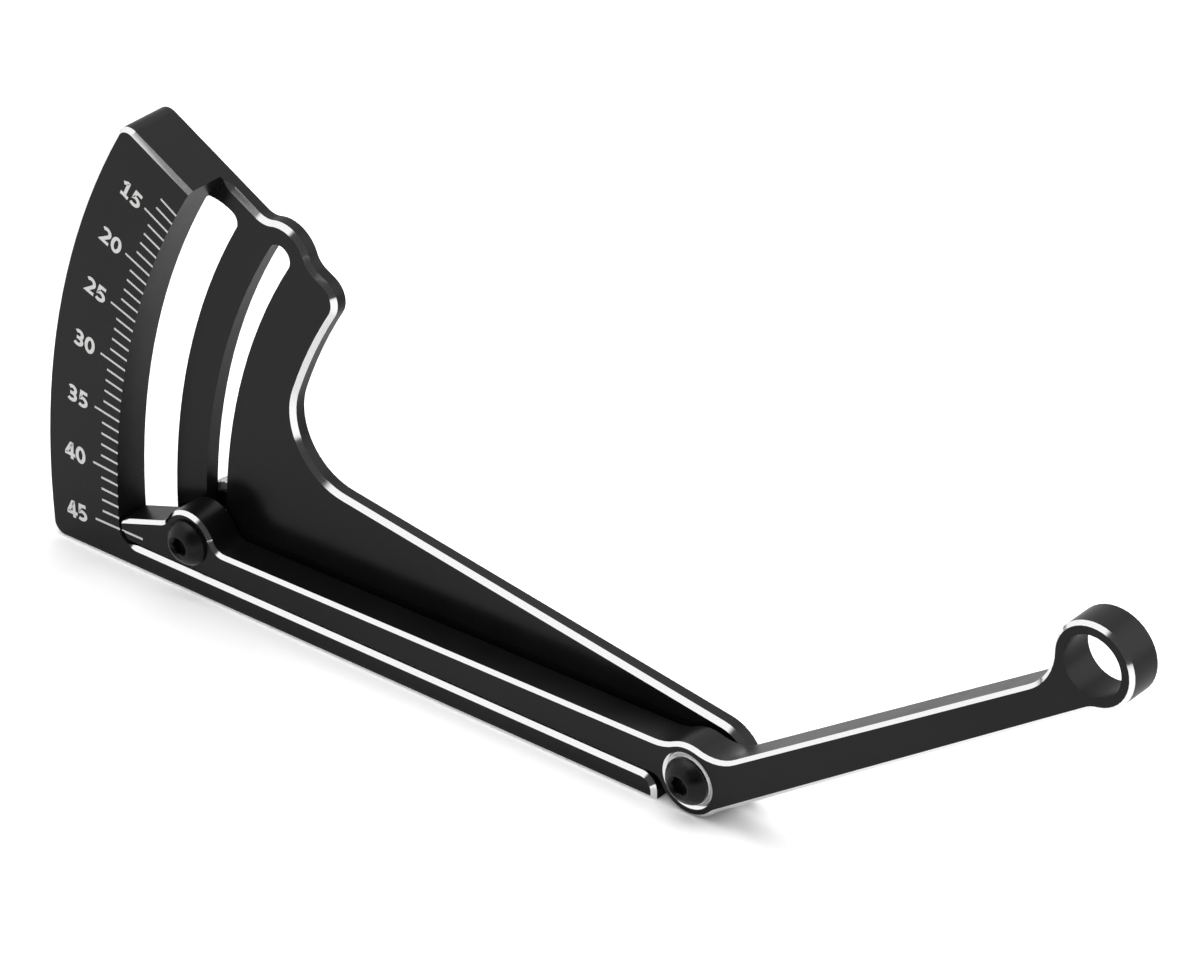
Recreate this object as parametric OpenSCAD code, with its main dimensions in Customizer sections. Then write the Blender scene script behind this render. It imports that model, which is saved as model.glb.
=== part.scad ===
// Ride height gauge. A cranked lever turns on two small ball bearings at the toe of a plate frame.
// Its ring goes under the thing to be measured and its pointer reads the height on a graduated arc.
// Outlines are drawn about the pivot, x to the right and y up, and stood up facing the front.
// A line is [heading, offset to its left]. An outline runs with its material on the left.

/* [Frame] */

// thickness left in the web behind the pocket
web_t = 1.9; // [1.3:0.05:2.4]
// clearance between the lever and the web
web_gap = 0.65; // [0.4:0.05:1]
// height of the pivot above the table
pivot_h = 4.65; // [4.2:0.05:5.4]
// height of the foot rail
rail_h = 3.05; // [2.6:0.05:3.6]
// clearance between the hub and the end of the foot rail
rail_gap = 0.25; // [0.2:0.05:1]
// radius of the arc that the pointer tip passes
arc_r = 86.3; // [75:0.1:100]
// radial width of the graduated block
block_w = 11.5; // [10:0.1:13]
// radius of the outer corners of the frame
corner_r = 2; // [1.2:0.1:2.6]
// bevel along the front edges of the block and the rail, and round the bearing seat
bevel = 0.5; // [0.3:0.05:0.6]
// bevel along the edges of the web
web_bevel = 0.56; // [0.3:0.02:0.6]
// slope of the top edge
top_slope = 29.7; // [29:0.1:31]
// distance from the pivot to the line of the top edge
top_offset = 7.9; // [7.2:0.1:8.6]
// slope of the long upper edge of the web
web_slope = 8.7; // [7.5:0.1:9.5]
// how far the round toe of the web would reach below the table
toe_drop = 0.65; // [0.5:0.05:1]
// width of the web inside the guide slot
web_rim = 7.6; // [6.5:0.1:9]
// fillet between the upper and the inner edge of the web
web_fillet = 8.2; // [5:0.1:12]

/* [Scale] */

// lowest reading of the scale
low_reading = 13; // [10:1:14]
// reading at rest, with the pointer level
rest_reading = 45; // [44:1:46]
// angle of the lever for each unit of the scale
step_angle = 1; // [0.98:0.01:1.01]
// length of a short graduation mark
tick_l = 2.7; // [2:0.1:3.5]
// length of every fifth graduation mark
long_tick_l = 4; // [3.6:0.1:5]
// width of a graduation mark
tick_w = 0.36; // [0.2:0.02:0.4]

/* [Slots] */

// distance of the middle of the guide slot from the arc
guide_inset = 11.25; // [10:0.05:12.5]
// clearance between the guide screw and each side of its slot
slot_play = 0.1; // [0.05:0.01:0.15]
// angle of the guide screw above the pivot at rest
guide_angle = 1.85; // [1.6:0.05:2.2]
// wall of the web round the top end of the guide slot
guide_wall = 2.8; // [2.2:0.1:3]
// width of the web between the guide slot and the window
window_rim = 4.75; // [3.5:0.05:5.5]
// distance that the window reaches behind the block
window_under = 3.75; // [3.4:0.05:4.5]
// web left between the window and the top edge
window_wall = 2.7; // [2:0.1:4]
// how much deeper than the web the window is milled from the back
window_over = 0.4; // [0.2:0.1:1]

/* [Lever] */

// clearance between the hub and the table
hub_lift = 0.1; // [0.05:0.05:0.3]
// distance from the pivot to the middle of the ring
ring_reach = 63.9; // [50:0.1:75]
// angle of the ring above the pivot at rest
ring_angle = 33.7; // [33:0.1:34.4]
// radius of the bore of the ring
bore_r = 3.6; // [3:0.1:4.2]
// wall of the ring
ring_wall = 1.4; // [1.2:0.1:2]
// clearance between the pointer tip and the arc
tip_gap = 0.4; // [0.3:0.05:0.8]
// clearance between the arm and the foot rail
arm_gap = 0.25; // [0.2:0.05:0.4]
// how far the hub stands above the upper edge of the arm
arm_drop = 1.18; // [1:0.02:1.4]
// wall of the lever round the head of the guide screw
bump_wall = 1.05; // [0.9:0.05:1.4]
// bevel along the front edges of the lever
lever_bevel = 0.43; // [0.3:0.01:0.5]

/* [Pivot bearings] */

// bore radius of a bearing, which is also the radius of both screws
shaft_r = 1.5; // [1.4:0.02:1.56]
// outer radius of a bearing
bearing_r = 3; // [2.95:0.05:3.2]
// width of a bearing
bearing_w = 2; // [1.8:0.05:2.3]
// width of the lip between the two bearings
lip_w = 0.3; // [0.2:0.05:0.5]
// radius of a ball
ball_r = 0.4; // [0.36:0.01:0.42]
// number of balls in a bearing
ball_count = 7; // [5:1:8]

/* [Screws and nut] */

// radius of a screw head
head_r = 2.85; // [2.6:0.05:2.9]
// height of a screw head
head_h = 1.65; // [1.4:0.05:1.8]
// width across flats of the hexagon socket
socket_w = 2; // [1.5:0.1:2.2]
// length of the pivot screw under its head
pivot_screw_l = 8; // [7:0.5:9]
// length of the guide screw under its head
guide_screw_l = 10; // [9.5:0.5:12]
// outer radius of the washer
washer_r = 3.5; // [3:0.1:4]
// thickness of the washer
washer_t = 0.5; // [0.4:0.05:0.8]
// radius over the knurl of the thumb nut
nut_r = 4.5; // [4.2:0.1:5]
// thickness of the knurled rim of the thumb nut
nut_rim = 1.6; // [1.2:0.1:2.2]
// number of grooves in the knurl
knurl_count = 48; // [30:1:56]

/* [Hidden] */

$fn = 96;
// how far a cut runs past the face that it opens
cut = 0.5;
// unit of length, the share of the arc's radius over which an arc counts as wide, and the hair by
// which tight arcs cross their neighbours
mm = 1;
wide_share = 0.25;
blend = 0.003;
overlap = 0.3;
tuck_share = 0.01;
// fillets of the web beside the guide boss and the round corner above the inner edge
boss_fillet = 2.8;
nose_r = 2.8;
// round corner of the rail end, and the fillet of the pocket beside the block
rail_corner = 2;
pocket_fillet = 1.6;
// where the bevels of the foot rail and of the web stop short of the block, and the radius that the
// bevel cutter has at the face, which shapes their ends
rail_stop = 1.05;
web_stop = 1.95;
cutter_r = 2;
// round corners of the window, the widest one above under the block, and its sloping lower edge
window_corner = 1.35;
window_turn = 7.4;
window_slope = 15.3;
window_floor = -0.17;
// free play of the guide screw at both ends of its slot
end_play = 0.1;
// depth of the graduation marks and how far the index line runs in from the tip
tick_depth = 0.05;
index_l = 3.4;
tick_every = 5;
// upper edge of the arm and the pointer, whose slope aims at this share of the bump's height
arm_slope = 0.73;
pointer_share = 0.6542;
tip_top = 1.44;
tip_corner = 1.3;
bump_fillet = 2;
// bar between hub and ring: its two edges run together slightly
bar_top_turn = 0.9;
bar_top = 0.8;
bar_bottom_turn = 0.1;
bar_drop = 0.2;
// fillets of the lever at the hub, under it, and below and above the neck of the ring
hub_fillet = 6;
heel_fillet = 1.2;
neck_fillet = 3.5;
nape_fillet = 6.5;
// bearing inside: lands, running clearance of the balls, cage and shields
land_w = 0.33;
ball_play = 0.03;
cage_t = 0.24;
cage_h = 0.5;
cage_open = 0.2;
shield_t = 0.15;
shield_gap = 0.12;
// height of the lip between the two bearing seats, and wall of the rings between the inner rings
lip_h = 0.45;
spacer_wall = 0.45;
// screws, washer and nut
head_rim = 0.3;
head_flat = 1.5;
socket_depth = 1.05;
mouth_share = 0.65;
screw_play = 0.05;
washer_play = 0.1;
clamp_play = 0.05;
nut_neck_r = 3;
nut_h = 3;
groove_w = 0.34;

lever_t = 2 * bearing_w + lip_w;
pocket_d = lever_t + web_gap;
frame_t = pocket_d + web_t;
hub_r = pivot_h - hub_lift;
toe_r = pivot_h + toe_drop;
rail_end = hub_r + rail_gap;
rail_top = rail_h - pivot_h;
outer_r = arc_r + block_w;
tip_r = arc_r - tip_gap;
guide_r = arc_r - guide_inset;
guide_w = 2 * (shaft_r + slot_play);
slot_in = guide_r - guide_w / 2;
slot_out = guide_r + guide_w / 2;
web_r = slot_in - web_rim;
window_r = slot_out + window_rim;
window_depth = web_t + window_over;
arm_bottom = rail_top + arm_gap;
arm_top = hub_r - arm_drop;
bar_bottom = hub_r - bar_drop;
ring_r = bore_r + ring_wall;
travel = (rest_reading - low_reading) * step_angle;
lip_r = bearing_r - lip_h;
pitch_r = (shaft_r + bearing_r) / 2;
land_in = pitch_r - land_w;
land_out = pitch_r + land_w;
cage_in = pitch_r - cage_t / 2;
cage_out = pitch_r + cage_t / 2;
bump_r = head_r + bump_wall;
boss_r = guide_w / 2 + guide_wall;
clamp_d = frame_t + clamp_play;
// half way along the foot, from the round corner of the block to the end of the rail
pivot_x = (rail_end + sqrt(pow(outer_r - corner_r, 2) - pow(pivot_h - corner_r, 2))) / 2;

anodised = [0.13, 0.13, 0.14];
blackened = [0.2, 0.2, 0.21];
steel = [0.72, 0.73, 0.75];
bright = [0.82, 0.83, 0.84];

// points and lines of an outline

function heading(a) = [cos(a), sin(a)];
function left_of(a) = [-sin(a), cos(a)];
function shifted(l, d) = [l[0], l[1] + d];
function foot(p, l) = p + (l[1] - p * left_of(l[0])) * left_of(l[0]);
// where line l meets the circle of radius r about c, behind (-1) or ahead (1) of the foot of c
function meet(l, c, r, side) =
    let (f = foot(c, l)) f + side * sqrt(pow(r, 2) - pow(norm(f - c), 2)) * heading(l[0]);
// a point at distance r from a, on the way from a to b
function along(a, b, r) = a + r * (b - a) / norm(b - a);
function bearing_of(p) = atan2(p.y, p.x);
function turned(from, to) = (to - from + 720) % 360;
function spun(p, c, t) = let (d = p - c) c + [d.x * cos(t) - d.y * sin(t), d.x * sin(t) + d.y * cos(t)];

origin = [0, 0];
// an outline step is [start, centre of its arc, kind, face that it is bevelled at]
line = 0;
bulging = 1;
hollow = -1;
plain = 0;
front = 1;
web = 2;

// how far an arc turns from a to b about c
function sweep(a, b, c, kind) =
    kind == bulging ? turned(bearing_of(a - c), bearing_of(b - c)) : turned(bearing_of(b - c), bearing_of(a - c));
function step_at(path, i) = path[(i + len(path)) % len(path)];
function is_wide(s) = norm(s[0] - s[1]) > wide_share * arc_r;
// a tight arc is drawn a hair larger than nominal, so that it crosses what it blends into
function drawn_r(s) = norm(s[0] - s[1]) + (is_wide(s) ? 0 : blend);
// curvature of a step, positive where it bulges
function curve_of(s) = s[2] / (s[2] == line ? 1 : norm(s[0] - s[1]) / mm);

// the piece between an arc and its chord, drawn down past the chord into what it joins
module arc_piece(a, b, s) {
    c = s[1];
    r = drawn_r(s);
    out = (a + b) / 2 - c;
    n = out / norm(out);
    u = [n.y, -n.x];
    low = norm(out) - r / 4;
    intersection() {
        translate(c) circle(r);
        if (is_wide(s)) polygon([a - tuck_share * (a - c), a + (a - c), b + (b - c), b - tuck_share * (b - c)]);
        else polygon([
            c + low * n - 2 * r * u,
            c + low * n + 2 * r * u,
            c + 2 * r * (n + u),
            c + 2 * r * (n - u)
        ]);
    }
}

// a wide hollow arc runs on a little where the next step bulges
module arc_shape(path, i) {
    s = path[i];
    run = is_wide(s) && s[2] == hollow ? overlap / drawn_r(s) * 180 / PI : 0;
    a = spun(s[0], s[1], step_at(path, i - 1)[2] == bulging ? run : 0);
    b = spun(step_at(path, i + 1)[0], s[1], step_at(path, i + 1)[2] == bulging ? -run : 0);
    if (sweep(a, b, s[1], s[2]) < 150) arc_piece(a, b, s);
    else translate(s[1]) circle(drawn_r(s));
}

module outline(path) {
    difference() {
        union() {
            polygon([for (s = path) s[0]]);
            for (i = [0:len(path) - 1]) if (path[i][2] == bulging) arc_shape(path, i);
        }
        for (i = [0:len(path) - 1]) if (path[i][2] == hollow) arc_shape(path, i);
    }
}

// cutter for a bevel of width w along the steps named for one face, which lies at height z; each cut
// runs on past an end where the next step bulges more, because it is clear of the material there
module bevel_cut(path, face, z, w) {
    for (i = [0:len(path) - 1]) {
        s = path[i];
        end = step_at(path, i + 1)[0];
        before = curve_of(step_at(path, i - 1)) > curve_of(s) ? overlap : 0;
        after = curve_of(step_at(path, i + 1)) > curve_of(s) ? overlap : 0;
        if (s[3] == face && s[2] == line) straight_bevel(s[0], end, z, w, before, after);
        if (s[3] == face && s[2] != line) arc_bevel(s, end, z, w, before, after);
    }
}

module straight_bevel(a, b, z, w, before, after) {
    translate([a.x, a.y, z]) rotate(bearing_of(b - a)) translate([-before, 0, 0]) rotate([90, 0, 90])
        linear_extrude(norm(b - a) + before + after)
            polygon([[-cut, -w - cut], [w + cut, cut], [-cut, cut]]);
}

module arc_bevel(s, end, z, w, before, after) {
    c = s[1];
    side = s[2];
    r = drawn_r(s);
    from = bearing_of((side == bulging ? s[0] : end) - c);
    first = (side == bulging ? before : after) / r * 180 / PI;
    last = (side == bulging ? after : before) / r * 180 / PI;
    translate([c.x, c.y, z]) rotate(from - first)
        rotate_extrude(angle = sweep(s[0], end, c, side) + first + last)
            polygon([
                [r + side * cut, -w - cut],
                [r - side * (w + cut), cut],
                [r + side * cut, cut]
            ]);
}

// round end of a bevel, where the cutter stopped beside point p of an edge that runs at angle a
module bevel_end(p, a, z, w) {
    c = p - (cutter_r - w) * left_of(a);
    r = cutter_r + blend;
    translate([c.x, c.y, z - w - cut]) cylinder(w + 2 * cut, r - w - cut, r + cut);
}

// stands the drawing up: depth is measured from the front face of the frame to the back
module stand() {
    translate([pivot_x, 0, pivot_h]) rotate([90, 0, 0]) children();
}

module slab(from, to) {
    translate([0, 0, frame_t / 2 - to]) linear_extrude(to - from) children();
}

module disc(r, from, to) {
    slab(from, to) circle(r);
}

module ring(inner, outer, from, to) {
    slab(from, to) difference() {
        circle(outer);
        circle(inner);
    }
}

// frame outline

base_line = [0, -pivot_h];
upper_line = [180 - web_slope, -toe_r];
top_line = [180 - top_slope, -top_offset];
guide_top = 180 - guide_angle - travel;
boss_c = guide_r * heading(guide_top);

toe_start = [sqrt(pow(toe_r, 2) - pow(pivot_h, 2)), -pivot_h];
toe_end = foot(origin, upper_line);
web_c = meet(shifted(upper_line, -web_fillet), origin, web_r - web_fillet, 1);
nose_c = meet(shifted(top_line, nose_r), origin, web_r + nose_r, 1);
near_c = meet(shifted(top_line, -boss_fillet), boss_c, boss_r + boss_fillet, -1);
far_c = meet(shifted(top_line, -boss_fillet), boss_c, boss_r + boss_fillet, 1);
peak_c = meet(shifted(top_line, corner_r), origin, outer_r - corner_r, 1);
heel_c = meet(shifted(base_line, corner_r), origin, outer_r - corner_r, -1);
block_top = meet(top_line, origin, arc_r, 1);
web_end = block_top - web_stop * heading(top_line[0]);

frame_path = [
    [toe_start, origin, bulging, web],
    [toe_end, origin, line, web],
    [foot(web_c, upper_line), web_c, hollow, web],
    [along(origin, web_c, web_r), origin, hollow, web],
    [along(origin, nose_c, web_r), nose_c, bulging, web],
    [foot(nose_c, top_line), origin, line, web],
    [foot(near_c, top_line), near_c, hollow, web],
    [along(boss_c, near_c, boss_r), boss_c, bulging, web],
    [along(boss_c, far_c, boss_r), far_c, hollow, web],
    [foot(far_c, top_line), origin, line, web],
    [web_end, origin, line, plain],
    [block_top, origin, line, front],
    [foot(peak_c, top_line), peak_c, bulging, front],
    [along(origin, peak_c, outer_r), origin, bulging, front],
    [along(origin, heel_c, outer_r), heel_c, bulging, front],
    [foot(heel_c, base_line), origin, line, front],
    [[-rail_end, -pivot_h], origin, line, plain]
];

// the foot rail as it stands up from the web, with the fillet where it meets the block

fillet_c = [-sqrt(pow(arc_r - pocket_fillet, 2) - pow(rail_top + pocket_fillet, 2)), rail_top + pocket_fillet];
fillet_end = along(origin, fillet_c, arc_r);
rail_bevel_end = [fillet_c.x + rail_stop, rail_top];

rail_path = [
    [[-rail_end, -pivot_h - cut], origin, line, front],
    [[-rail_end, rail_top - rail_corner], [-rail_end - rail_corner, rail_top - rail_corner], bulging, front],
    [[-rail_end - rail_corner, rail_top], origin, line, front],
    [rail_bevel_end, origin, line, plain],
    [[fillet_c.x, rail_top], fillet_c, hollow, plain],
    [fillet_end, origin, line, plain],
    [[-outer_r, fillet_end.y], origin, line, plain],
    [[-outer_r, -pivot_h - cut], origin, line, plain]
];

// window behind the pointer tip

sill_line = [window_slope, window_floor * cos(window_slope) + arc_r * sin(window_slope)];
lintel_line = shifted(top_line, window_wall);
window_out = arc_r + window_under;
sill_near = meet(shifted(sill_line, window_corner), origin, window_r + window_corner, -1);
sill_far = meet(shifted(sill_line, window_corner), origin, window_out - window_corner, -1);
lintel_near = meet(shifted(lintel_line, window_corner), origin, window_r + window_corner, 1);
lintel_far = meet(shifted(lintel_line, window_turn), origin, window_out - window_turn, 1);

window_path = [
    [foot(sill_near, sill_line), sill_near, bulging],
    [along(origin, sill_near, window_r), origin, hollow],
    [along(origin, lintel_near, window_r), lintel_near, bulging],
    [foot(lintel_near, lintel_line), origin, line],
    [foot(lintel_far, lintel_line), lintel_far, bulging],
    [along(origin, lintel_far, window_out), origin, bulging],
    [along(origin, sill_far, window_out), sill_far, bulging],
    [foot(sill_far, sill_line), origin, line]
];

// guide slot, with a little free play past both ends of the travel

slot_low = 180 - guide_angle + asin(end_play / guide_r);
slot_high = guide_top - asin(end_play / guide_r);

slot_path = [
    [slot_out * heading(slot_high), origin, bulging],
    [slot_out * heading(slot_low), guide_r * heading(slot_low), bulging],
    [slot_in * heading(slot_low), origin, hollow],
    [slot_in * heading(slot_high), guide_r * heading(slot_high), bulging]
];

module tick(reading) {
    l = reading % tick_every == 0 ? long_tick_l : tick_l;
    rotate(180 - (rest_reading - reading) * step_angle)
        translate([arc_r - cut, -tick_w / 2, frame_t / 2 - tick_depth]) cube([l + cut, tick_w, tick_depth + cut]);
}

module frame() {
    color(anodised) stand() difference() {
        slab(0, frame_t) difference() {
            outline(frame_path);
            translate([-outer_r, -pivot_h - toe_r]) square([2 * outer_r, toe_r]);
        }
        slab(-cut, pocket_d) difference() {
            circle(arc_r);
            outline(rail_path);
        }
        bevel_cut(frame_path, front, frame_t / 2, bevel);
        bevel_cut(rail_path, front, frame_t / 2, bevel);
        bevel_end(rail_bevel_end, 180, frame_t / 2, bevel);
        intersection() {
            union() {
                bevel_cut(frame_path, web, frame_t / 2 - pocket_d, web_bevel);
                bevel_end(web_end, top_line[0], frame_t / 2 - pocket_d, web_bevel);
            }
            disc(arc_r, pocket_d - cut, pocket_d + web_bevel + cut);
        }
        slab(frame_t - window_depth, frame_t + cut) outline(window_path);
        slab(pocket_d - cut, frame_t + cut) outline(slot_path);
        disc(shaft_r, pocket_d - cut, frame_t + cut);
        for (reading = [low_reading:rest_reading]) tick(reading);
    }
}

// lever outline

floor_line = [0, arm_bottom];
under_line = [ring_angle + bar_bottom_turn, -bar_bottom];
over_line = [180 + ring_angle - bar_top_turn, -bar_top];
arm_line = [180 + arm_slope, -arm_top];
guide_c = guide_r * heading(180 - guide_angle);
ring_c = ring_reach * heading(ring_angle);
tip_p = [-sqrt(pow(tip_r, 2) - pow(tip_top, 2)), tip_top];
pointer_aim = bearing_of(tip_p - guide_c - [0, pointer_share * bump_r]);
pointer_line = [pointer_aim, tip_p * left_of(pointer_aim)];

heel_hub_c = meet(shifted(floor_line, -heel_fillet), origin, hub_r + heel_fillet, -1);
under_hub_c = meet(shifted(under_line, -hub_fillet), origin, hub_r + hub_fillet, 1);
under_neck_c = meet(shifted(under_line, -neck_fillet), ring_c, ring_r + neck_fillet, -1);
over_neck_c = meet(shifted(over_line, -nape_fillet), ring_c, ring_r + nape_fillet, 1);
over_hub_c = meet(shifted(over_line, -hub_fillet), origin, hub_r + hub_fillet, -1);
arm_hub_c = meet(shifted(arm_line, -hub_fillet), origin, hub_r + hub_fillet, 1);
arm_bump_c = meet(shifted(arm_line, -bump_fillet), guide_c, bump_r + bump_fillet, -1);
tip_bump_c = meet(shifted(pointer_line, -bump_fillet), guide_c, bump_r + bump_fillet, 1);
tip_corner_c = meet(shifted(floor_line, tip_corner), origin, tip_r - tip_corner, -1);

lever_path = [
    [foot(tip_corner_c, floor_line), origin, line, front],
    [foot(heel_hub_c, floor_line), heel_hub_c, hollow, front],
    [along(origin, heel_hub_c, hub_r), origin, bulging, front],
    [along(origin, under_hub_c, hub_r), under_hub_c, hollow, front],
    [foot(under_hub_c, under_line), origin, line, front],
    [foot(under_neck_c, under_line), under_neck_c, hollow, front],
    [along(ring_c, under_neck_c, ring_r), ring_c, bulging, front],
    [along(ring_c, over_neck_c, ring_r), over_neck_c, hollow, front],
    [foot(over_neck_c, over_line), origin, line, front],
    [foot(over_hub_c, over_line), over_hub_c, hollow, front],
    [along(origin, over_hub_c, hub_r), origin, bulging, front],
    [along(origin, arm_hub_c, hub_r), arm_hub_c, hollow, front],
    [foot(arm_hub_c, arm_line), origin, line, front],
    [foot(arm_bump_c, arm_line), arm_bump_c, hollow, front],
    [along(guide_c, arm_bump_c, bump_r), guide_c, bulging, front],
    [along(guide_c, tip_bump_c, bump_r), tip_bump_c, hollow, front],
    [foot(tip_bump_c, pointer_line), origin, line, front],
    [meet(pointer_line, origin, tip_r + cut, 1), origin, line, plain],
    [along(origin, tip_corner_c, tip_r), tip_corner_c, bulging, front]
];

module lever() {
    color(anodised) stand() difference() {
        slab(0, lever_t) intersection() {
            outline(lever_path);
            circle(tip_r);
        }
        bevel_cut(lever_path, front, frame_t / 2, lever_bevel);
        slab(-cut, lever_t + cut) translate(ring_c) circle(bore_r);
        slab(-cut, lever_t + cut) translate(guide_c) circle(shaft_r + screw_play);
        disc(lip_r, -cut, lever_t + cut);
        disc(bearing_r, -cut, bearing_w);
        disc(bearing_r, lever_t - bearing_w, lever_t + cut);
        translate([0, 0, frame_t / 2 - bevel]) cylinder(bevel + cut, bearing_r, bearing_r + bevel + cut);
        rotate(180) translate([tip_r - index_l, -tick_w / 2, frame_t / 2 - tick_depth])
            cube([index_l + cut, tick_w, tick_depth + cut]);
    }
}

// ball bearings, each drawn about the middle of its width

module bearing_place(at) {
    stand() translate([0, 0, frame_t / 2 - at]) children();
}

module balls(r) {
    for (i = [0:ball_count - 1]) rotate(i * 360 / ball_count) translate([pitch_r, 0, 0]) sphere(r);
}

// a band turned about the pivot, from one radius to another and between two heights
module band(inner, outer, low, high) {
    rotate_extrude() polygon([[inner, low], [outer, low], [outer, high], [inner, high]]);
}

module groove(r) {
    rotate_extrude() translate([pitch_r, 0]) circle(r);
}

module outer_ring(at) {
    color(steel) bearing_place(at) difference() {
        band(land_out, bearing_r, -bearing_w / 2, bearing_w / 2);
        groove(ball_r);
    }
}

module inner_ring(at) {
    color(steel) bearing_place(at) difference() {
        band(shaft_r, land_in, -bearing_w / 2, bearing_w / 2);
        groove(ball_r + ball_play);
    }
}

module ball_set(at) {
    color(bright) bearing_place(at) balls(ball_r);
}

module cage(at) {
    color(steel) bearing_place(at) difference() {
        band(cage_in, cage_out, -cage_h, cage_open);
        balls(ball_r);
    }
}

module shields(at) {
    color(steel) bearing_place(at) for (side = [0, 1]) mirror([0, 0, side])
        band(land_in + shield_gap, land_out, bearing_w / 2 - shield_t, bearing_w / 2);
}

front_at = bearing_w / 2;
rear_at = lever_t - bearing_w / 2;

module front_outer_ring() outer_ring(front_at);
module front_inner_ring() inner_ring(front_at);
module front_balls() ball_set(front_at);
module front_cage() cage(front_at);
module front_shields() shields(front_at);
module rear_outer_ring() outer_ring(rear_at);
module rear_inner_ring() inner_ring(rear_at);
module rear_balls() ball_set(rear_at);
module rear_cage() cage(rear_at);
module rear_shields() shields(rear_at);

module middle_shim() {
    color(steel) stand() ring(shaft_r, shaft_r + spacer_wall, bearing_w, bearing_w + lip_w);
}

module rear_spacer() {
    color(steel) stand() ring(shaft_r, shaft_r + spacer_wall, lever_t, pocket_d);
}

// screws, washer and nut

// a domed head that sits on the front face, with a small flat and a countersunk socket on top, and a
// shank behind it
module screw(shank) {
    rise = head_h - head_rim;
    dome_z = head_rim - (pow(head_r, 2) - pow(head_flat, 2) - pow(rise, 2)) / (2 * rise);
    mouth_r = mouth_share * socket_w;
    mouth_d = mouth_r - socket_w / 4;
    difference() {
        union() {
            disc(shaft_r, 0, shank);
            intersection() {
                translate([0, 0, frame_t / 2 + dome_z]) sphere(norm([head_r, head_rim - dome_z]));
                disc(head_r, -head_h, 0);
            }
        }
        translate([0, 0, frame_t / 2 + head_h - socket_depth])
            cylinder(socket_depth + cut, r = socket_w / sqrt(3), $fn = 6);
        translate([0, 0, frame_t / 2 + head_h - mouth_d]) cylinder(mouth_d + cut, mouth_r - mouth_d, mouth_r + cut);
    }
}

module pivot_screw() {
    color(blackened) stand() screw(pivot_screw_l);
}

module guide_screw() {
    color(blackened) stand() translate(guide_c) screw(guide_screw_l);
}

module washer() {
    color(blackened) stand() translate(guide_c)
        ring(shaft_r + washer_play, washer_r, clamp_d, clamp_d + washer_t);
}

module thumb_nut() {
    front = clamp_d + washer_t;
    color(bright) stand() translate(guide_c) difference() {
        union() {
            disc(nut_r, front, front + nut_rim);
            disc(nut_neck_r, front, front + nut_h);
        }
        disc(shaft_r, front - cut, front + nut_h + cut);
        for (i = [0:knurl_count - 1]) rotate(i * 360 / knurl_count)
            slab(front - cut, front + nut_rim + cut) translate([nut_r, 0]) circle(groove_w / 2, $fn = 4);
    }
}

frame();
lever();
pivot_screw();
guide_screw();
washer();
thumb_nut();
rear_spacer();
middle_shim();
front_outer_ring();
front_inner_ring();
front_balls();
front_cage();
front_shields();
rear_outer_ring();
rear_inner_ring();
rear_balls();
rear_cage();
rear_shields();
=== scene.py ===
import math

import bmesh
import bpy
from mathutils import Euler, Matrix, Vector


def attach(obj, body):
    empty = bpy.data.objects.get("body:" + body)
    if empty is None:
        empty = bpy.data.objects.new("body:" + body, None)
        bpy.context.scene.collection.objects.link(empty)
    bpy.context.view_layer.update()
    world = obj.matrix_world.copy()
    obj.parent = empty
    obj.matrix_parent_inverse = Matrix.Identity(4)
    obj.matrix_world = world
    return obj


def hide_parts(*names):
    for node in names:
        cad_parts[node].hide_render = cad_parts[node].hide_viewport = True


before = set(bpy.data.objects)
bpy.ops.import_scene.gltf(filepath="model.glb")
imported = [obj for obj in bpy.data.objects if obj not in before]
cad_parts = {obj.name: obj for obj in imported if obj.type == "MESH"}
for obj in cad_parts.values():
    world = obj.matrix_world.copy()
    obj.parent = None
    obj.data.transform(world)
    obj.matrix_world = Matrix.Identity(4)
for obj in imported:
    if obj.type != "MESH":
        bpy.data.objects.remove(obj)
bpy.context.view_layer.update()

MM = 0.001
BACK = Vector((0.0, 1.0, 0.0))        # from the front faces of the part to its back


def add_object(name, data):
    piece = bpy.data.objects.new(name, data)
    bpy.context.scene.collection.objects.link(piece)
    return piece


# places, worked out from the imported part

def box_of(node):
    """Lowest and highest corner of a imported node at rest."""
    points = [v.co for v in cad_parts[node].data.vertices]
    return [Vector([pick(p[i] for p in points) for i in range(3)]) for pick in (min, max)]


def axis_of(node):
    """The axis of a round node that runs front to back, as its point at y = 0."""
    low, high = box_of(node)
    return Vector(((low.x + high.x) / 2, 0.0, (low.z + high.z) / 2))


PIVOT = axis_of("pivot_screw")        # the lever turns about it
GUIDE = axis_of("guide_screw")        # at rest
FRONT = box_of("frame")[0].y          # front face of the frame and the lever
REST_READING = 45                     # reading of the scale where the pointer rests


# shader nodes

MIX_SOCKETS = {"RGBA": (6, 7, 2), "FLOAT": (2, 3, 0)}     # inputs a and b, and the output, of a Mix node


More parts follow.
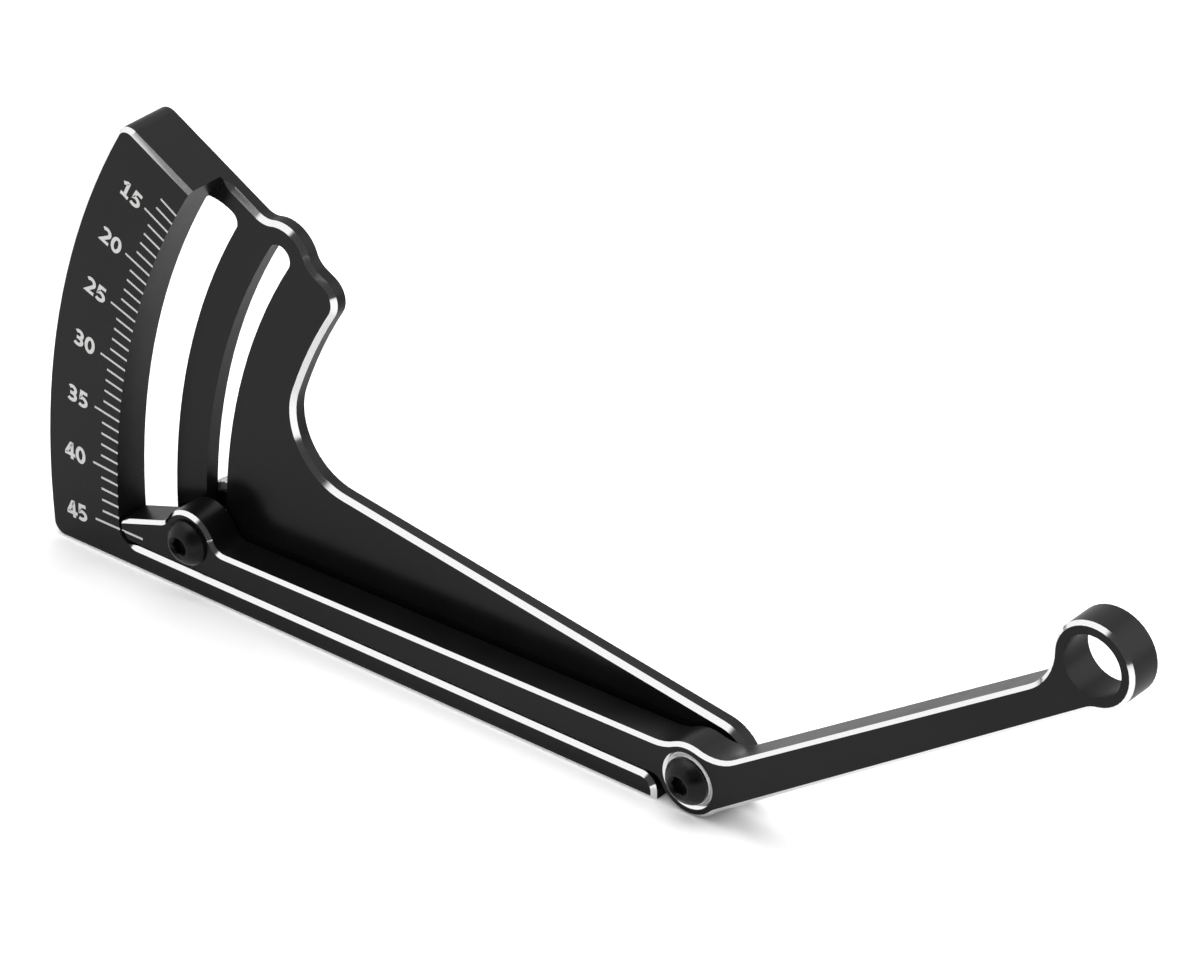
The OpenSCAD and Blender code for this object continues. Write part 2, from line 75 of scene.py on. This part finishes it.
class Nodes:
    """A node tree. Most methods add one node or a few, and give back the output of the last."""

    def __init__(self, owner, output, shader):
        owner.use_nodes = True
        self.owner = owner
        self.tree = owner.node_tree
        self.tree.nodes.clear()
        self.shader = self.new(shader)
        self.put(self.shader.outputs[0], self.new(output).inputs["Surface"])

    def new(self, kind):
        return self.tree.nodes.new("ShaderNode" + kind)

    def put(self, value, socket):
        """Feed a socket with the output of a node, a colour or a plain value."""
        if hasattr(value, "is_output"):
            self.tree.links.new(value, socket)
        elif socket.type == "RGBA":
            socket.default_value = (*value, 1.0)
        else:
            socket.default_value = value

    def math(self, op, a, b=0.0, c=0.0):
        n = self.new("Math")
        n.operation = op
        for value, socket in zip((a, b, c), n.inputs):
            self.put(value, socket)
        return n.outputs[0]

    def mix(self, share, a, b, kind="RGBA"):
        """Colour a where the share is 0 and colour b where it is 1."""
        n = self.new("Mix")
        n.data_type = kind
        first, second, result = MIX_SOCKETS[kind]
        self.put(share, n.inputs["Factor"])
        self.put(a, n.inputs[first])
        self.put(b, n.inputs[second])
        return n.outputs[result]

    def blend(self, share, a, b):
        """Number a where the share is 0 and number b where it is 1."""
        return self.mix(share, a, b, "FLOAT")

    def span(self, value, low, high, to_low=0.0, to_high=1.0, rise="LINEAR"):
        """The stretch from low to high, laid on to_low to to_high and held at its ends."""
        n = self.new("MapRange")
        n.interpolation_type = rise
        for v, socket in zip((value, low, high, to_low, to_high), n.inputs):
            self.put(v, socket)
        return n.outputs[0]

    def vector(self, op, *values, scale=None):
        n = self.new("VectorMath")
        n.operation = op
        for value, socket in zip(values, n.inputs):
            self.put(value, socket)
        if scale is not None:
            self.put(scale, n.inputs["Scale"])
        return n.outputs["Value" if op == "DOT_PRODUCT" else "Vector"]

    def axes(self, vector):
        n = self.new("SeparateXYZ")
        self.put(vector, n.inputs[0])
        return n.outputs[0], n.outputs[1], n.outputs[2]

    def place(self):
        return self.new("TexCoord").outputs["Object"]

    def radius(self, axis):
        """Distance from an axis that runs front to back."""
        x, _, z = self.axes(self.place())
        across = self.math("SUBTRACT", x, axis.x)
        up = self.math("SUBTRACT", z, axis.z)
        return self.math("SQRT", self.math("ADD", *[self.math("MULTIPLY", d, d) for d in (across, up)]))

    def noise(self, vector, size, detail=2.0, rough=0.5):
        """Noise with features of about the size given, in metres."""
        n = self.new("TexNoise")
        sockets = {"Vector": vector, "Scale": 1.0 / size, "Detail": detail, "Roughness": rough}
        for name, value in sockets.items():
            self.put(value, n.inputs[name])
        return n.outputs[0]

    def leaned(self, amount, direction):
        """The surface's normal, leaned by some amount towards a direction."""
        lean = self.vector("SCALE", direction, scale=amount)
        return self.vector("NORMALIZE", self.vector("ADD", self.new("NewGeometry").outputs["Normal"], lean))

    def bump(self, height, strength, distance, after=None):
        """The normal with a relief, on top of another relief where one is given."""
        n = self.new("Bump")
        self.put(height, n.inputs["Height"])
        self.put(strength, n.inputs["Strength"])
        self.put(distance, n.inputs["Distance"])
        if after is not None:
            self.put(after, n.inputs["Normal"])
        return n.outputs[0]

    def finish(self, colour, roughness, metallic, normal, ior=1.45):
        names = ("Base Color", "Roughness", "Metallic", "Normal", "IOR")
        for name, value in zip(names, (colour, roughness, metallic, normal, ior)):
            self.put(value, self.shader.inputs[name])
        return self.owner


def material_nodes(name, shader="BsdfPrincipled"):
    return Nodes(bpy.data.materials.new(name), "OutputMaterial", shader)


# materials of the part

BEVEL_FACING = -math.sqrt(0.5)        # y of the normal of a 45 degree bevel at the front
BEVEL_SLACK = 0.1                     # how far from it a bevel's normal may be
FRONT_FACING = -0.95                  # y of the normal, below which a face looks to the front
SIDE_FACING = (0.9, 0.5)              # size of that y, from front and back faces to side faces
SIDE_ROUGHER = 0.14                   # roughness that the milled side faces have on top
TICK_DEPTH = 0.05 * MM                # of the grooves of the scale, whose floors are painted
TICK_SLACK = 0.02 * MM
SEAT_R = 3.8 * MM                     # reach of the bevel round the bearing seat
SEAT_LEAN = 0.5                       # how far that bevel's shading leans to the front
STRETCH = (1.0, 0.06, 1.0)            # draws a noise out from front to back
THREAD_PITCH = 0.5 * MM
THREAD_START = FRONT + 0.4 * MM       # the screws' shanks have a thread behind it
THREAD_RELIEF = 0.12 * MM
RING_WANDER = 3.0                     # how unevenly turned rings run, in radians
RELIEF = 0.01 * MM                    # depth of a fine grain
CLOUD_RELIEF = 0.2 * MM               # depth of the plates' slight waves

BLACK = ((0.0042, 0.0042, 0.0047), (0.0062, 0.0061, 0.0067), (0.011, 0.011, 0.0115))    # deep, pale, specks
STEEL = ((0.003, 0.003, 0.0034), (0.0075, 0.0072, 0.0072), (0.02, 0.02, 0.021))         # deep, pale, specks
BARE = ((0.88, 0.885, 0.9), (0.96, 0.96, 0.965))                                        # dull, bright
INK = ((0.93, 0.93, 0.92), (0.84, 0.84, 0.83), (0.74, 0.74, 0.74))                      # full, thin, worn
NUT = ((0.4, 0.405, 0.415), (0.52, 0.525, 0.535))                                       # stained, clean
BEARING = ((0.5, 0.5, 0.51), (0.62, 0.62, 0.63))                                        # stained, clean


def anodised(name):
    """Black anodised aluminium, bare where the front bevels were cut after anodising, paint in the marks."""
    m = material_nodes(name)
    place = m.place()
    _, y, _ = m.axes(place)
    _, facing, _ = m.axes(m.new("NewGeometry").outputs["True Normal"])

    bevel = m.math("COMPARE", facing, BEVEL_FACING, BEVEL_SLACK)
    tick_floor = m.math("COMPARE", y, FRONT + TICK_DEPTH, TICK_SLACK)
    paint = m.math("MULTIPLY", m.math("LESS_THAN", facing, FRONT_FACING), tick_floor)
    seat = m.math("MULTIPLY", bevel, m.math("LESS_THAN", m.radius(PIVOT), SEAT_R))

    fine = m.noise(place, size=0.09 * MM, detail=3.0, rough=0.6)
    cloud = m.noise(place, size=7.0 * MM, detail=3.0, rough=0.55)
    swirl = m.noise(m.vector("MULTIPLY", place, STRETCH), size=0.16 * MM)
    streak = m.span(m.noise(place, size=0.22 * MM, detail=4.0, rough=0.7), 0.3, 0.7)

    black = m.mix(m.span(cloud, 0.3, 0.7), BLACK[0], BLACK[1])
    black = m.mix(m.span(fine, 0.62, 0.8), black, BLACK[2])
    white = m.mix(m.span(fine, 0.35, 0.75), INK[0], INK[1])
    colour = m.mix(paint, m.mix(bevel, black, m.mix(streak, BARE[0], BARE[1])), white)

    rough = m.span(cloud, 0.25, 0.75, 0.17, 0.23)
    rough = m.math("ADD", rough, m.span(fine, 0.3, 0.8, -0.01, 0.05))
    rough = m.math("ADD", rough, m.span(m.math("ABSOLUTE", facing), *SIDE_FACING, 0.0, SIDE_ROUGHER))
    rough = m.blend(bevel, rough, m.blend(streak, 0.09, 0.14))
    rough = m.blend(paint, rough, 0.55)

    grain = m.math("ADD", m.math("MULTIPLY", fine, 0.4), m.math("MULTIPLY", swirl, 0.6))
    normal = m.leaned(m.math("MULTIPLY", seat, SEAT_LEAN), -BACK)
    normal = m.bump(grain, strength=0.12, distance=RELIEF, after=normal)
    normal = m.bump(cloud, strength=0.05, distance=CLOUD_RELIEF, after=normal)
    return m.finish(colour, rough, bevel, normal, ior=1.26)


def black_steel(name, axis):
    """Blackened screw steel: satin, slightly mottled, with a thread on the shank."""
    m = material_nodes(name)
    place = m.place()
    x, y, z = m.axes(place)
    grain = m.noise(place, size=0.12 * MM, detail=3.0, rough=0.6)
    mottle = m.noise(place, size=0.9 * MM, detail=3.0, rough=0.6)
    colour = m.mix(m.span(mottle, 0.3, 0.7), STEEL[0], STEEL[1])
    colour = m.mix(m.span(grain, 0.66, 0.85), colour, STEEL[2])
    rough = m.span(mottle, 0.25, 0.75, 0.24, 0.36)
    turn = m.math("ARCTAN2", m.math("SUBTRACT", z, axis.z), m.math("SUBTRACT", x, axis.x))
    helix = m.math("SINE", m.math("ADD", m.math("MULTIPLY", y, math.tau / THREAD_PITCH), turn))
    thread = m.math("MULTIPLY", helix, m.math("GREATER_THAN", y, THREAD_START))
    normal = m.bump(grain, strength=0.25, distance=RELIEF)
    normal = m.bump(thread, strength=0.6, distance=THREAD_RELIEF, after=normal)
    return m.finish(colour, rough, 0.0, normal, ior=1.3)


def turned_metal(name, axis, colours, roughness, ring, metallic):
    """Turned metal, slightly stained, with fine rings about an axis."""
    m = material_nodes(name)
    place = m.place()
    grain = m.noise(place, size=0.15 * MM, detail=3.0, rough=0.6)
    stain = m.span(m.noise(place, size=1.6 * MM, detail=3.0, rough=0.6), 0.3, 0.7)
    wander = m.math("MULTIPLY", grain, RING_WANDER)
    lines = m.math("SINE", m.math("ADD", m.math("MULTIPLY", m.radius(axis), math.tau / ring), wander))
    rough = m.math("ADD", m.blend(stain, *roughness), m.math("MULTIPLY", lines, 0.02))
    normal = m.bump(lines, strength=0.15, distance=RELIEF)
    normal = m.bump(grain, strength=0.15, distance=RELIEF, after=normal)
    return m.finish(m.mix(stain, *colours), rough, metallic, normal)


def marking_paint(name):
    """Thin pale ink of the numerals, slightly uneven."""
    m = material_nodes(name)
    place = m.place()
    grain = m.noise(place, size=0.08 * MM, detail=3.0, rough=0.65)
    patch = m.noise(place, size=0.7 * MM)
    colour = m.mix(m.span(grain, 0.35, 0.75), INK[0], INK[1])
    colour = m.mix(m.span(patch, 0.4, 0.8, 0.0, 0.3), colour, INK[2])
    rough = m.span(grain, 0.3, 0.7, 0.5, 0.62)
    return m.finish(colour, rough, 0.0, m.bump(grain, strength=0.2, distance=RELIEF))


def dress(node, material):
    """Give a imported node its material."""
    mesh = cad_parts[node].data
    mesh.materials.clear()
    mesh.materials.append(material)


dress("frame", anodised("black_anodised_frame"))
dress("lever", anodised("black_anodised_lever"))
dress("pivot_screw", black_steel("black_steel_pivot", PIVOT))
dress("guide_screw", black_steel("black_steel_guide", GUIDE))
dress("washer", black_steel("black_steel_washer", GUIDE))
dress("thumb_nut", turned_metal("nut_aluminium", GUIDE, NUT, roughness=(0.36, 0.5), ring=0.09 * MM,
                                metallic=0.55))
bearing_steel = turned_metal("bearing_steel", PIVOT, BEARING, roughness=(0.18, 0.28), ring=0.06 * MM,
                             metallic=1.0)
for part in ("rear_spacer", "middle_shim"):
    dress(part, bearing_steel)
for side in ("front", "rear"):
    for part in ("outer_ring", "inner_ring", "balls", "cage", "shields"):
        dress(f"{side}_{part}", bearing_steel)


# frame plate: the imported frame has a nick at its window's near upper corner, where a round belongs

CORNER = Vector((-19.6122, 0.0, 48.949)) * MM      # centre of that round
CORNER_R = 1.353 * MM
CORNER_REACH = (1.07, 1.86)      # the nick's points: distances from the centre, in shares of the radius
CORNER_TURN = (-30.0, 40.0)      # the nick's points: directions from the centre, in degrees
CORNER_ARC = (-20.0, 60.0)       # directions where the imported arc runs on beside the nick, in degrees
SAME_PLACE = 0.0001 * MM         # points closer than this are one
SHARP_EDGE = 30.0                # faces that meet at more degrees than this keep their edge
FLAT_FACING = 0.99               # length of y of the normal of a front or back face


def lay_on_arc(bm):
    """Lay the nick's points on the corner's arc, evenly and in the order of their directions."""
    lines = {}
    for v in bm.verts:
        arm = Vector((v.co.x - CORNER.x, v.co.z - CORNER.z))
        turn = math.degrees(math.atan2(arm.y, arm.x))
        reach = arm.length / CORNER_R
        if CORNER_REACH[0] < reach < CORNER_REACH[1] and CORNER_TURN[0] < turn < CORNER_TURN[1]:
            lines.setdefault(round(turn), []).append(v)
    step = (CORNER_ARC[1] - CORNER_ARC[0]) / (len(lines) + 1)
    for i, turn in enumerate(sorted(lines), 1):
        t = math.radians(CORNER_ARC[0] + step * i)
        for v in lines[turn]:
            v.co.x = CORNER.x + CORNER_R * math.cos(t)
            v.co.z = CORNER.z + CORNER_R * math.sin(t)
    return {v for line in lines.values() for v in line}


def fill_again(bm, moved, side):
    """Fill the flat faces at the moved points again, at the front (side -1) or at the back (side 1)."""
    flat = [f for f in bm.faces if side * f.normal.y > FLAT_FACING and moved.intersection(f.verts)]
    inside = set(flat)
    rim = [e for e in bm.edges if len(inside.intersection(e.link_faces)) == 1]
    bmesh.ops.delete(bm, geom=flat, context="FACES")
    filled = bmesh.ops.triangle_fill(bm, use_beauty=True, edges=rim)["geom"]
    for f in filled:
        if isinstance(f, bmesh.types.BMFace):
            f.normal_update()
            if f.normal.y * side < 0:
                f.normal_flip()


def rounded_copy(node, name):
    """A copy of a node with a round in place of the nick, as the photograph shows it."""
    bm = bmesh.new()
    bm.from_mesh(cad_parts[node].data)
    bmesh.ops.remove_doubles(bm, verts=bm.verts, dist=SAME_PLACE)
    moved = lay_on_arc(bm)
    for side in (-1, 1):
        fill_again(bm, moved, side)
    for f in bm.faces:
        f.smooth = True
    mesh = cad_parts[node].data.copy()
    mesh.name = name
    bm.to_mesh(mesh)
    bm.free()
    mesh.attributes.remove(mesh.attributes["custom_normal"])
    mesh.set_sharp_from_angle(angle=math.radians(SHARP_EDGE))
    return add_object(name, mesh)


plate = rounded_copy("frame", "frame_plate")
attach(plate, "frame")
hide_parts("frame")


# numerals of the scale

FIGURE_HEIGHT = 2.33 * MM
FIGURE_WIDTH = 0.68              # this and the next two are shares of the height
FIGURE_ADVANCE = 0.73            # from one figure to the next
STROKE = 0.2
INK_PROUD = 0.012 * MM           # the ink stands this far in front of the frame
INK_DEPTH = 0.04 * MM            # from the front of the ink to its hidden back
INK_LAYER = 0.003 * MM           # each further stroke of a figure stands this much further out
# from the pivot to the middle of each numeral, in mm
NUMERAL_REACH = {15: 92.51, 20: 92.65, 25: 92.72, 30: 92.87, 35: 92.96, 40: 93.13, 45: 93.26}


def arc(cx, cy, rx, ry, start, end, steps):
    """Points along an ellipse, from one direction to another, in degrees."""
    turns = [math.radians(start + (end - start) * i / steps) for i in range(steps + 1)]
    return [(cx + rx * math.cos(t), cy + ry * math.sin(t)) for t in turns]


# centre lines of the figures, in shares of their height, each with whether it is closed
FIGURES = {
    "0": [(arc(0.34, 0.5, 0.24, 0.4, 90, 450, 40)[:-1], True)],
    "1": [([(0.08, 0.74), (0.31, 0.9), (0.37, 0.9), (0.37, 0.0)], False),
          ([(0.1, 0.09), (0.27, 0.09)], False), ([(0.47, 0.09), (0.64, 0.09)], False)],
    "2": [(arc(0.3, 0.66, 0.26, 0.24, 140, -28, 18) + [(0.13, 0.1), (0.63, 0.1)], False)],
    "3": [(arc(0.3, 0.695, 0.22, 0.205, 145, -90, 18) + [(0.17, 0.49)], False),
          ([(0.17, 0.49)] + arc(0.28, 0.295, 0.27, 0.205, 90, -140, 20), False)],
    "4": [([(0.47, 0.0), (0.47, 0.9), (0.4, 0.9), (0.08, 0.32), (0.08, 0.27), (0.37, 0.27)], False),
          ([(0.57, 0.27), (0.7, 0.27)], False)],
    "5": [([(0.6, 0.9), (0.2, 0.9), (0.17, 0.54)] + arc(0.27, 0.33, 0.29, 0.23, 105, -130, 22), False)],
}
LEAST_MITRE = 0.45               # a sharp corner reaches no further than half the stroke over this


def stroke_sides(points, closed):
    """The points to the left and the right of a line, for a stroke with mitred corners and butt ends."""
    n = len(points)
    sides = []
    for i, p in enumerate(points):
        p = Vector(p)
        before = Vector(points[i - 1]) if closed or i > 0 else None
        after = Vector(points[(i + 1) % n]) if closed or i < n - 1 else None
        a = (p - before).normalized() if before else (after - p).normalized()
        b = (after - p).normalized() if after else a
        mid = (a + b).normalized()
        out = Vector((-mid.y, mid.x)) * STROKE / 2 / max(LEAST_MITRE, mid.dot(a))
        sides.append((p + out, p - out))
    return sides


def add_stroke(bm, points, closed, corner, along, up):
    """A stroke as a closed flat bar, from the figure's lower left corner along its two axes."""
    rings = []
    for left, right in stroke_sides(points, closed):
        ring = ((left, 0.0), (right, 0.0), (right, INK_DEPTH), (left, INK_DEPTH))
        rings.append([bm.verts.new(corner + p.x * along + p.y * up + depth * BACK) for p, depth in ring])
    for a, b in zip(rings, rings[1:] + rings[:1] if closed else rings[1:]):
        for k in range(4):
            bm.faces.new((a[k - 1], a[k], b[k], b[k - 1]))
    if not closed:
        bm.faces.new(rings[0])
        bm.faces.new(rings[-1])


def numeral(reading, reach, material):
    """A reading's figures, painted on the frame beyond its tick."""
    angle = math.radians(REST_READING - reading)
    outward = Vector((-math.cos(angle), 0.0, math.sin(angle)))
    along = -FIGURE_HEIGHT * outward
    up = FIGURE_HEIGHT * Vector((math.sin(angle), 0.0, math.cos(angle)))
    width = FIGURE_ADVANCE * (len(str(reading)) - 1) + FIGURE_WIDTH
    bm = bmesh.new()
    for k, figure in enumerate(str(reading)):
        for layer, (points, closed) in enumerate(FIGURES[figure]):
            corner = PIVOT + reach * outward + (FIGURE_ADVANCE * k - width / 2) * along - up / 2
            corner.y = FRONT - INK_PROUD - INK_LAYER * layer
            add_stroke(bm, points, closed, corner, along, up)
    bmesh.ops.recalc_face_normals(bm, faces=bm.faces)
    mesh = bpy.data.meshes.new(f"numeral_{reading}")
    bm.to_mesh(mesh)
    bm.free()
    mesh.materials.append(material)
    piece = add_object(f"numeral_{reading}", mesh)
    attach(piece, "frame")


paint = marking_paint("marking_paint")
for reading, reach in NUMERAL_REACH.items():
    numeral(reading, reach * MM, paint)


# floor, light and camera

FLOOR_SIZE = 6.0
LAMPS_FACE = Vector((0.0, 0.0, 0.02))
LAMP_DISTANCE = 0.9
DISC_EDGE = (0.04, 0.075)        # soft edge of the dark disc, outside and inside, in cosines
CAMERA_PLACE = Vector((376.878, -392.256, 341.348)) * MM
CAMERA_TURN = (59.538599, 1.352736, 40.202487)     # degrees about x, y and z
SENSOR_WIDTH = 36.0                                # this and the next are in mm of the camera
LENS = 167.93
NEAREST_SEEN = 0.01


def grey(level):
    return (level, level, level)


def floor_material(diffuse, mirrored, seen):
    """Pale floor that keeps its shadows, whiter in reflections and whitest to the camera."""
    m = material_nodes("pale_floor", "BsdfDiffuse")
    rays = m.new("LightPath").outputs
    whiter = {"Is Glossy Ray": mirrored, "Is Transmission Ray": mirrored, "Is Camera Ray": seen}
    colour = grey(diffuse)
    for ray, level in whiter.items():
        colour = m.mix(rays[ray], colour, grey(level))
    m.put(colour, m.shader.inputs["Color"])
    return m.owner


def studio_world(strength, dark_towards, dark_angle, dark_level):
    """Surroundings that light evenly, look white to the camera and show a dark disc in reflections."""
    m = Nodes(bpy.data.worlds.new("studio"), "OutputWorld", "Background")
    rays = m.new("LightPath").outputs
    direction = m.new("TexCoord").outputs["Generated"]
    towards = m.vector("DOT_PRODUCT", direction, Vector(dark_towards).normalized())
    edge = math.cos(math.radians(dark_angle))
    disc = m.span(towards, edge - DISC_EDGE[0], edge + DISC_EDGE[1], 1.0, dark_level, "SMOOTHSTEP")
    lit = m.blend(rays["Is Glossy Ray"], strength, disc)
    seen = m.math("MAXIMUM", rays["Is Camera Ray"], rays["Is Transmission Ray"])
    m.put(grey(1.0), m.shader.inputs["Color"])
    m.put(m.blend(seen, lit, 1.0), m.shader.inputs["Strength"])
    return m.owner


def softbox(name, direction, size, strength):
    """A soft rectangular lamp that faces the object. At one strength it looks as bright at any size."""
    light = bpy.data.lights.new(name, "AREA")
    light.shape = "RECTANGLE"
    light.size, light.size_y = size
    light.energy = strength * size[0] * size[1] * math.pi
    towards = Vector(direction).normalized()
    lamp = add_object(name, light)
    lamp.location = LAMPS_FACE + LAMP_DISTANCE * towards
    lamp.rotation_euler = towards.to_track_quat("Z", "Y").to_euler()
    lamp.visible_camera = False


def add_camera():
    """The photograph's camera, fitted to the outlines and the ticks of the part."""
    data = bpy.data.cameras.new("camera")
    data.sensor_fit = "HORIZONTAL"
    data.sensor_width = SENSOR_WIDTH
    data.lens = LENS
    data.clip_start = NEAREST_SEEN
    camera = add_object("camera", data)
    camera.location = CAMERA_PLACE
    camera.rotation_euler = Euler([math.radians(a) for a in CAMERA_TURN], "XYZ")
    return camera


bpy.ops.mesh.primitive_plane_add(size=FLOOR_SIZE, location=(0.0, 0.0, 0.0))
floor = bpy.context.object
floor.name = "floor"
floor.data.materials.append(floor_material(diffuse=0.85, mirrored=1.05, seen=1.45))

softbox("back_softbox", (0.52, 0.7, 0.42), size=(0.75, 0.75), strength=1.6)
softbox("top_softbox", (-0.12, 0.04, 0.97), size=(1.15, 0.95), strength=1.55)

scene = bpy.context.scene
scene.world = studio_world(strength=0.5, dark_towards=(0.5655, -0.6506, 0.5068), dark_angle=38.0,
                           dark_level=0.05)
scene.camera = add_camera()
scene.view_settings.view_transform = "Standard"
